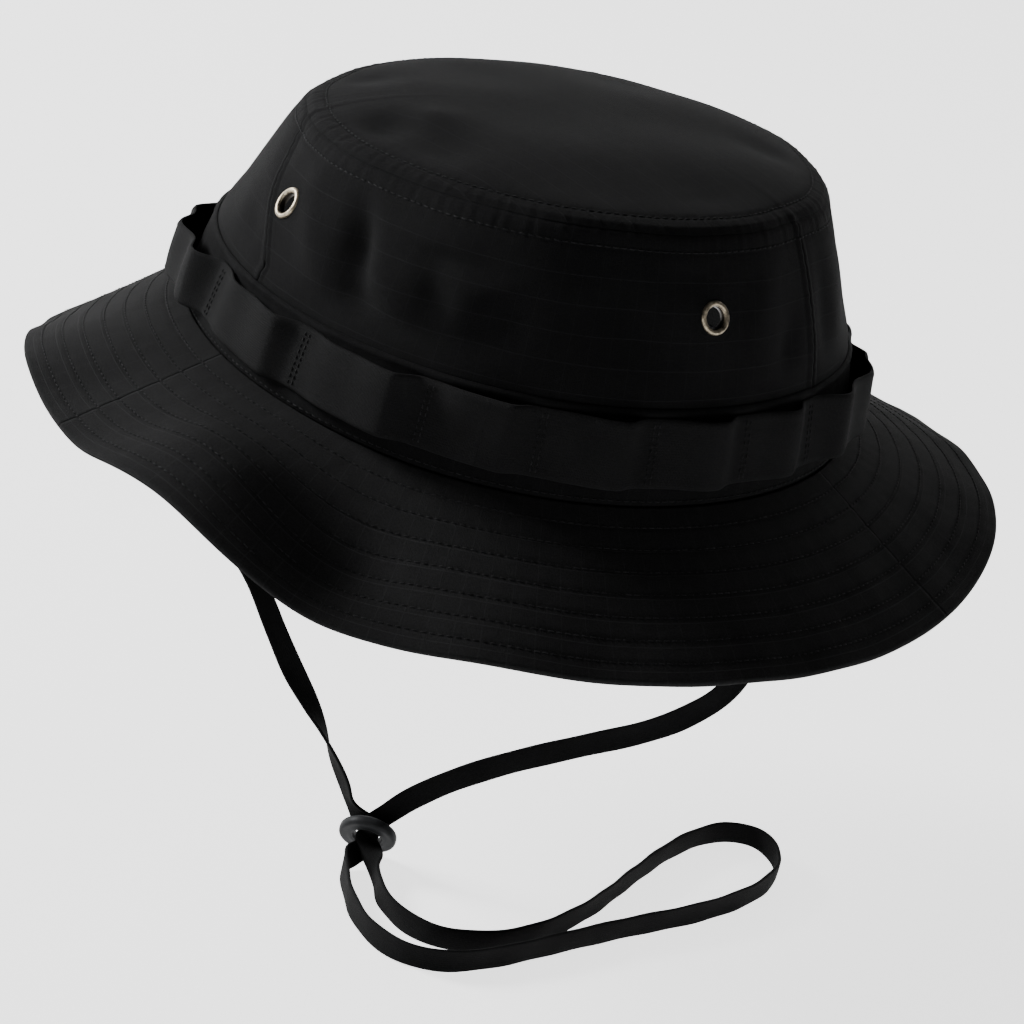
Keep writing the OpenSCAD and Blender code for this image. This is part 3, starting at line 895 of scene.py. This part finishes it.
def stitch_shape():
    """A short thread, lying along X from -0.5 to 0.5, bowed up in Z, radius 0.5."""
    rings = [(-0.5, -0.9, 0.30), (-0.42, -0.2, 0.46), (-0.2, 0.32, 0.5),
             (0.2, 0.32, 0.5), (0.42, -0.2, 0.46), (0.5, -0.9, 0.30)]
    k = 6
    points = []
    for x, lift, r in rings:
        for j in range(k):
            a = j / k * 2 * math.pi
            points.append((x, r * math.cos(a), lift + r * math.sin(a)))
    faces = [f[::-1] for f in grid_faces(len(rings), k, close_columns=True)]
    faces.append(list(range(k)))
    faces.append([(len(rings) - 1) * k + j for j in range(k - 1, -1, -1)])
    return np.array(points), faces


STITCH_POINTS, STITCH_FACES = stitch_shape()
THREAD_D, THREAD_LIFT = 0.34, 0.06


def stitches(name, lines, length=1.65, gap=0.6):
    """Rows of stitches along lines; each line is (points, outward directions)."""
    draw = np.random.default_rng(len(name) * 17)
    all_points, all_faces = [], []
    base = 0
    for points, outward in lines:
        seg = np.linalg.norm(np.diff(points, axis=0), axis=1)
        run = np.concatenate([[0], np.cumsum(seg)])
        count = int(run[-1] / (length + gap))
        if count < 1:
            continue
        pitch = run[-1] / count
        middle = (np.arange(count) + 0.5) * pitch
        half = pitch * length / (length + gap) / 2
        def at(values, where):
            return np.stack([np.interp(where, run, values[:, i]) for i in range(3)], -1)
        a, b = at(points, middle - half), at(points, middle + half)
        along = b - a
        size = np.linalg.norm(along, axis=1, keepdims=True)
        x_axis = along / size
        z_axis = unit(at(outward, middle))
        z_axis = unit(z_axis - x_axis * (z_axis * x_axis).sum(1, keepdims=True))
        y_axis = np.cross(z_axis, x_axis)
        skew = draw.normal(0, 0.03, (count, 1))
        x_axis = unit(x_axis + y_axis * skew)
        y_axis = np.cross(z_axis, x_axis)
        centre = at(points, middle) + z_axis * THREAD_LIFT
        local = STITCH_POINTS
        placed = (centre[:, None]
                  + x_axis[:, None] * (local[None, :, 0:1] * size[:, None])
                  + y_axis[:, None] * local[None, :, 1:2] * THREAD_D
                  + z_axis[:, None] * local[None, :, 2:3] * THREAD_D)
        all_points.append(placed.reshape(-1, 3))
        for i in range(count):
            offset = base + i * len(local)
            all_faces.extend([[offset + j for j in f] for f in STITCH_FACES])
        base += count * len(local)
    obj = new_object(name, np.vstack(all_points), all_faces, thread)
    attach(obj, "hat")


def surface_line(point, t, v):
    """Points along a surface and the direction out of it there."""
    here = point(t, v, 0.0)
    return here, unit(point(t, v, 1.0) - here)


def surface_ring(point, v, count=700):
    """A line right round the hat."""
    t = np.append(full_azimuths(count), 2 * math.pi)
    return surface_line(point, t, np.full_like(t, v))


# ---- crown ----

def wall_panel(name, node, a, b):
    """One crown side panel, with its edges turned in at the seams and at the tip."""
    t = arc_azimuths(a + 0.004, b - 0.004, 0.6)
    u = np.linspace(-0.018, 0.985, 84)
    tt, uu = np.meshgrid(t, u, indexing="ij")
    edge = np.minimum(tt - t[0], t[-1] - tt) / RAD
    turned = -0.3 * (1 - smooth(edge, 0, 0.6)) ** 2 - 0.7 * smooth(uu, 0.970, 0.986) ** 2
    outer = wall_point(drawn(tt, uu), uu, turned)
    u_in = np.linspace(0.985, -0.018, 30)
    ti, ui = np.meshgrid(t, u_in, indexing="ij")
    inner = wall_point(drawn(ti, ui), ui, 0 * ti - CLOTH)
    sections = np.concatenate([outer, inner], axis=1)
    uv_outer = np.stack([arc_length(tt), uu * WALL_RISE], -1)
    uv_inner = np.stack([arc_length(ti), ui * WALL_RISE], -1)
    uv = np.concatenate([uv_outer, uv_inner], axis=1)
    panel = swept(name, sections, uv, crown_cloth, ring=False)
    stands_for(panel, node)
    cut_vents(panel)


def eyelet_matrix(azimuth):
    t = np.array(azimuth * RAD)
    here = wall_point(t, np.array(EYELET_UP), np.array(0.0))
    above = wall_point(t, np.array(EYELET_UP + 0.03), np.array(0.0), relief=False)
    below = wall_point(t, np.array(EYELET_UP - 0.03), np.array(0.0), relief=False)
    rise = unit(above - below)
    n = out_dir(t)
    z_axis = unit(np.array([n[0], n[1], 0]) - rise * (rise[0] * n[0] + rise[1] * n[1]))
    y_axis = rise
    x_axis = np.cross(y_axis, z_axis)
    matrix = Matrix([list(row) for row in np.stack([x_axis, y_axis, z_axis], 1)]).to_4x4()
    matrix.translation = Vector(here * MM)
    return matrix


VENT_HOLE_R = VENT_R + 0.5


def cut_vents(panel):
    """Cuts the round holes that the eyelets go through."""
    for azimuth in EYELET_AZ:
        cutter_points = []
        k = 40
        for z in (-6, 6):
            for j in range(k):
                a = j / k * 2 * math.pi
                cutter_points.append((VENT_HOLE_R * math.cos(a), VENT_HOLE_R * math.sin(a), z))
        faces = [[j, (j + 1) % k, k + (j + 1) % k, k + j] for j in range(k)]
        faces.append(list(range(k - 1, -1, -1)))
        faces.append([k + j for j in range(k)])
        cutter = new_object("vent_cutter", cutter_points, faces, crown_cloth)
        place_mesh(cutter, eyelet_matrix(azimuth))
        modifier = panel.modifiers.new("vent", "BOOLEAN")
        modifier.operation = "DIFFERENCE"
        modifier.solver = "EXACT"
        modifier.object = cutter
        bpy.context.view_layer.objects.active = panel
        panel.select_set(True)
        bpy.ops.object.modifier_apply(modifier="vent")
        bpy.data.objects.remove(cutter)


wall_panel("wall_panel_front", "crown_panel_front", SEAM_AZ[0], SEAM_AZ[1])
wall_panel("wall_panel_right", "crown_panel_right", SEAM_AZ[1], SEAM_AZ[2])
wall_panel("wall_panel_left", "crown_panel_left", SEAM_AZ[2], 360 + SEAM_AZ[0])


def make_tip():
    """The domed top panel, a round cloth with its edge turned down into the seam."""
    count = 480
    t = full_azimuths(count)
    r = np.concatenate([np.linspace(0.02, 0.92, 60), np.linspace(0.932, 1.0, 18)])
    tt, rr = np.meshgrid(t, r, indexing="xy")
    drop = -0.95 * smooth(rr, 0.972, 1.0) ** 2
    top = tip_point(tt, rr, drop)
    r_under = np.linspace(1.0, 0.02, 30)
    tu, ru = np.meshgrid(t, r_under, indexing="xy")
    under = tip_point(tu, ru, np.full_like(tu, -CLOTH) - 0.3)
    rings = np.concatenate([top, under])
    rows = len(rings)
    faces = grid_faces(rows, count, close_columns=True)
    faces = [f[::-1] for f in faces]
    middle_top = rows * count
    faces += [[j, (j + 1) % count, middle_top] for j in range(count)]
    last = (rows - 1) * count
    faces += [[last + (j + 1) % count, last + j, middle_top + 1] for j in range(count)]
    zero = np.array(0.0)
    middles = [tip_point(zero, zero, zero), tip_point(zero, zero, zero - CLOTH - 0.3)]
    points = np.vstack([rings.reshape(-1, 3), *middles])
    tip = new_object("tip_panel", points, faces, tip_cloth, points[:, :2])
    stands_for(tip, "crown_tip")


make_tip()


def crown_rows():
    """Topstitching on both sides of the seam round the tip."""
    lines = [surface_ring(tip_point, TOPSTITCH_R), surface_ring(wall_point, TOPSTITCH_U)]
    stitches("crown_topstitching", lines)


crown_rows()


# ---- bands ----

BAND_IN, BAND_OUT = 0.1, 0.8


def band_solid(name, u0, u1, inner, outer, material, count=720, rows=26, edge=0.5, sag=None):
    """A strip round the crown with rounded upper and lower edges."""
    t = full_azimuths(count)
    u = np.linspace(u0, u1, rows)
    tt, uu = np.meshgrid(t, u, indexing="ij")
    from_edge = np.minimum(uu - u0, u1 - uu) * WALL_RISE
    if sag:
        uu = uu - sag(tt)
    d_out = outer(tt, uu) - edge * (1 - smooth(from_edge, 0, 1.3)) ** 2
    d_in = inner(tt, uu)
    out = wall_point(tt, uu, d_out, relief=False)
    back = wall_point(tt, uu, d_in, relief=False)[:, ::-1]
    sections = np.concatenate([out, back], axis=1)
    uv_out = np.stack([arc_length(tt), np.broadcast_to(u * WALL_RISE, uu.shape)], -1)
    uv = np.concatenate([uv_out, uv_out[:, ::-1]], axis=1)
    return swept(name, sections, uv, material, ring=True)


def crown_cover(t, u):
    """How far the wall's cloth stands out where the base band covers it."""
    return np.maximum(wall_relief(t, u), 0)


def make_base_band():
    def outer(t, u):
        fold = 0.5 * bump(u, up(BASE_BAND_H - 0.8), up(0.75))
        return BAND_OUT + fold + crown_cover(t, u) + 0.05 * fine_ripple(t, u * 20)
    def inner(t, u):
        return BAND_IN + crown_cover(t, u)
    band = band_solid("base_band_cloth", up(0.8), up(BASE_BAND_H), inner, outer, crown_cloth,
                      rows=34)
    stands_for(band, "base_band")
    def on_band(t, u, d):
        return wall_point(t, u, d + BAND_OUT + 0.02 + crown_cover(t, u), relief=False)
    lines = [surface_ring(on_band, up(2.3))]
    stitches("base_band_stitching", lines)


make_base_band()

LOOP_LIFTS = 3.2 + 1.5 * np.random.default_rng(7).random(len(STITCH_AZ) - 1)
LOOP_LIFTS[:8] = (3.0, 3.4, 2.4, 2.8, 2.6, 2.4, 4.4, 2.4)
LOOP_LIFTS[-2:] = (2.2, 5.2)


def webbing_sag(t):
    """How far the webbing sags at the left side, as a height share."""
    return up(WEBBING_SAG) * bump(turn(t, SAG_AZ), 0, SAG_W)


def loop_offset(t, u):
    """How far the back of the webbing stands off the wall, u being without its sag."""
    edges = np.array(STITCH_AZ, float)
    az = (np.degrees(t) - edges[0]) % 360 + edges[0]
    i = np.clip(np.searchsorted(edges, az, side="right") - 1, 0, len(edges) - 2)
    x = (az - edges[i]) / (edges[i + 1] - edges[i])
    width = (edges[i + 1] - edges[i]) / 25
    swell = smooth(x, 0, 0.42 / width) * (1 - smooth(x, 1 - 0.24 / width, 1 - 0.06 / width))
    fold = 0.26 * np.sin(2 * math.pi * (1.6 * x * width + 0.13 * i))
    swell = swell * (1 + fold * smooth(np.minimum(x, 1 - x), 0, 0.25))
    height = (u - up(WEBBING_Z)) / (up(WEBBING_Z + WEBBING_H) - up(WEBBING_Z))
    flare = 0.82 + 0.30 * height
    return BAND_OUT + 0.15 + LOOP_LIFTS[i] * swell * flare + 0.08 * webbing_ripple(t, u * 8)


def make_loop_band():
    def inner(t, u):
        return loop_offset(t, u + webbing_sag(t))
    def outer(t, u):
        height = (u + webbing_sag(t)) / up(1) - WEBBING_Z
        selvedge = 0.12 * (bump(height, 1.3, 0.5) + bump(height, WEBBING_H - 1.3, 0.5))
        return loop_offset(t, u + webbing_sag(t)) + WEBBING_T + selvedge
    band = band_solid("loop_webbing_band", up(WEBBING_Z), up(WEBBING_Z + WEBBING_H), inner, outer,
                      loop_webbing, count=1440, rows=26, edge=0.32, sag=webbing_sag)
    stands_for(band, "loop_band")
    lines = []
    for azimuth in STITCH_AZ[:-1]:
        u = np.linspace(up(WEBBING_Z + 1.0), up(WEBBING_Z + WEBBING_H - 1.0), 12)
        for shift in (-0.45, 0.45):
            t = np.full_like(u, (azimuth + shift) * RAD)
            def on_loop(t, u, d):
                offset = d + loop_offset(t, u) + WEBBING_T
                return wall_point(t, u - webbing_sag(t), offset, relief=False)
            lines.append(surface_line(on_loop, t, u))
    stitches("loop_bar_stitches", lines, length=1.2, gap=0.45)


make_loop_band()


def make_sweatband():
    def outer(t, u):
        return 0 * t - CLOTH - 0.2
    def inner(t, u):
        pad = 0.35 * bump(u, up(SWEAT_H / 2), up(SWEAT_H / 2.4))
        return -CLOTH - 1.25 - pad + 0.06 * fine_ripple(t, u * 12)
    band = band_solid("sweatband_twill", up(0.5), up(SWEAT_H), inner, outer, sweat_cloth,
                      count=540, edge=0.2)
    stands_for(band, "sweatband")
    def on_band(t, u, d):
        return wall_point(t, u, -CLOTH - 1.5 - d, relief=False)
    lines = [surface_ring(on_band, up(h), 500) for h in (2.5, SWEAT_H - 2.5)]
    stitches("sweatband_stitching", lines)


make_sweatband()


def make_seam_tape():
    def outer(t, u):
        return wall_relief(t, u) - CLOTH - 0.2
    def inner(t, u):
        return wall_relief(t, u) - CLOTH - 0.75 + 0.05 * fine_ripple(t, u * 12)
    band = band_solid("tip_binding_tape", 0.86, 0.97, inner, outer, inner_tape,
                      count=540, rows=12, edge=0.15)
    stands_for(band, "tip_seam_tape")


make_seam_tape()


# ---- brim ----

def brim_layer(name, node, a, b, side):
    """Half of the brim's upper (side 1) or under (side -1) cloth, rolled over the edge."""
    t = arc_azimuths(a + 0.004, b - 0.004, 0.5)
    s_flat = np.linspace(0.4, BRIM_W - BRIM_HALF, 132)
    bend = np.linspace(0, math.pi / 2, 7)[1:]
    s_out = np.concatenate([s_flat, BRIM_W - BRIM_HALF + BRIM_HALF * np.sin(bend)])
    d_out = np.concatenate([np.full(len(s_flat), BRIM_HALF), BRIM_HALF * np.cos(bend) + 0.02])
    s_in = np.linspace(BRIM_W - 1.2, 0.4, 30)
    d_in = np.full(len(s_in), BRIM_HALF - 0.55)
    s = np.concatenate([s_out, s_in])
    d = np.concatenate([d_out, d_in]) * side
    tt, ss = np.meshgrid(t, s, indexing="ij")
    dd = np.broadcast_to(d, tt.shape)
    edge = np.minimum(tt - t[0], t[-1] - tt) / RAD
    turned = -0.02 * (1 - smooth(edge, 0, 0.5)) ** 2 * side
    sections = brim_point(tt, ss, dd + turned, side)
    uv = np.stack([tt * BRIM_ARC_R, ss], -1)
    if side < 0:
        sections, uv = sections[:, ::-1], uv[:, ::-1]
    sections, uv = sections[:, ::-1], uv[:, ::-1]
    layer = swept(name, sections, uv, brim_cloth, ring=False)
    stands_for(layer, node)


SEAM_A, SEAM_B = BRIM_SEAM_AZ
brim_layer("brim_cloth_front", "brim_top_front", SEAM_A, SEAM_B, 1)
brim_layer("brim_cloth_back", "brim_top_back", SEAM_B, 360 + SEAM_A, 1)
brim_layer("brim_underside_front", "brim_under_front", SEAM_A, SEAM_B, -1)
brim_layer("brim_underside_back", "brim_under_back", SEAM_B, 360 + SEAM_A, -1)


def brim_rows():
    """The rows of stitching round the brim, above and below."""
    for side, name in ((1, "brim_stitching_upper"), (-1, "brim_stitching_under")):
        def on_brim(t, s, d):
            return brim_point(t, s, (BRIM_HALF + d) * side, side)
        lines = [surface_ring(on_brim, row, 900) for row in BRIM_ROWS]
        stitches(name, lines)


brim_rows()


def make_interlining():
    """The stiff layer inside the brim, seen only if the cloth is taken away."""
    t = full_azimuths(360)
    s = np.linspace(0.6, BRIM_W - 1.4, 40)
    tt, ss = np.meshgrid(t, s, indexing="ij")
    top = brim_point(tt, ss, 0.2 + 0 * tt)
    under = brim_point(tt, ss, -0.2 + 0 * tt)[:, ::-1]
    sections = np.concatenate([top, under], axis=1)[:, ::-1]
    uv = np.stack([tt * BRIM_ARC_R, ss], -1)
    uv = np.concatenate([uv, uv[:, ::-1]], axis=1)[:, ::-1]
    layer = swept("brim_stiffener", sections, uv, stiffener, ring=True)
    stands_for(layer, "brim_interlining")


make_interlining()


# ---- eyelets ----

EYELETS = ("front_left", "front_right", "back_right", "back_left")


def make_eyelet(place, azimuth):
    """Rolled brass eyelet outside, and the washer that it is pressed over inside."""
    matrix = eyelet_matrix(azimuth)
    roll = (EYELET_R - VENT_R - 0.15) / 2
    profile = []
    for i in range(17):
        a = math.pi * (1.12 - 1.24 * i / 16)
        profile.append((VENT_R + 0.15 + roll + roll * math.cos(a), 0.05 + roll * math.sin(a)))
    profile += [(EYELET_R - 0.35, -0.3), (VENT_R + 0.5, -0.3)]
    rim = lathe("eyelet_rim_" + place, profile, antique, 72)
    barrel_profile = [(VENT_R + 0.12, 0.1), (VENT_R + 0.12, -1.55),
                      (VENT_R + 0.42, -1.7), (VENT_R + 0.42, 0.1)]
    # The barrel takes the near-black brass: painted shade inside the vent.
    barrel = lathe("eyelet_barrel_" + place, barrel_profile[::-1], brass_in_painted_shade, 72)
    back = [(VENT_R + 0.45, -CLOTH - 0.4), (VENT_R + 0.45, -CLOTH - 0.9), (VENT_R + 0.9, -CLOTH - 1.1),
            (EYELET_R - 0.2, -CLOTH - 1.0), (EYELET_R + 0.1, -CLOTH - 0.7), (EYELET_R + 0.1, -CLOTH - 0.4)]
    washer = lathe("eyelet_washer_" + place, back[::-1], antique, 72)
    for piece in (rim, barrel, washer):
        place_mesh(piece, matrix)
        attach(piece, "hat")
    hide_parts("eyelet_" + place)
    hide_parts("washer_" + place)


for place, azimuth in zip(EYELETS, EYELET_AZ):
    make_eyelet(place, azimuth)


# ---- tabs that hold the cord's ends ----

TAB_T, TAB_LEAN = 1.2, 9.5


def make_tab(side, node):
    """A folded piece of tape stitched inside the sweatband over the cord's end."""
    low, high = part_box(node)
    low, high = np.array(low) / MM, np.array(high) / MM
    middle = (low + high) / 2
    half_t = TAB_T / 2
    def lean_x(height):
        return middle[0] - side * math.tan(TAB_LEAN * RAD) * (height - middle[2])
    y = np.linspace(low[1], high[1], 13)
    z = np.linspace(low[2], high[2], 15)
    yy, zz = np.meshgrid(y, z, indexing="ij")
    edge_y = np.minimum(yy - low[1], high[1] - yy)
    edge_z = np.minimum(zz - low[2], high[2] - zz)
    thick = half_t * (0.45 + 0.55 * smooth(np.minimum(edge_y, edge_z), 0, 1.6))
    swell = 0.25 * bump(yy, 0, 3.4)
    face = np.stack([lean_x(zz) - side * (thick + swell), yy, zz], -1)
    back = np.stack([lean_x(zz) + side * thick, yy, zz], -1)[:, ::-1]
    sections = np.concatenate([face, back], axis=1)
    if side < 0:
        sections = sections[:, ::-1]
    uv = sections[..., 1:]
    hand = "right" if side > 0 else "left"
    tab = swept("cord_tab_tape_" + hand, sections, uv, loop_webbing, ring=False)
    stands_for(tab, node)
    line = []
    for zed in (low[2] + 2.2, high[2] - 2.2):
        ys = np.linspace(low[1] + 0.8, high[1] - 0.8, 12)
        x_face = lean_x(zed) - side * (half_t + 0.12)
        points = np.stack([np.full_like(ys, x_face), ys, np.full_like(ys, zed)], -1)
        line.append((points, np.tile([-side, 0, 0], (12, 1)).astype(float)))
    stitches("cord_tab_stitches_" + hand, line, length=1.3, gap=0.4)


make_tab(-1, "cord_tab_left")
make_tab(1, "cord_tab_right")
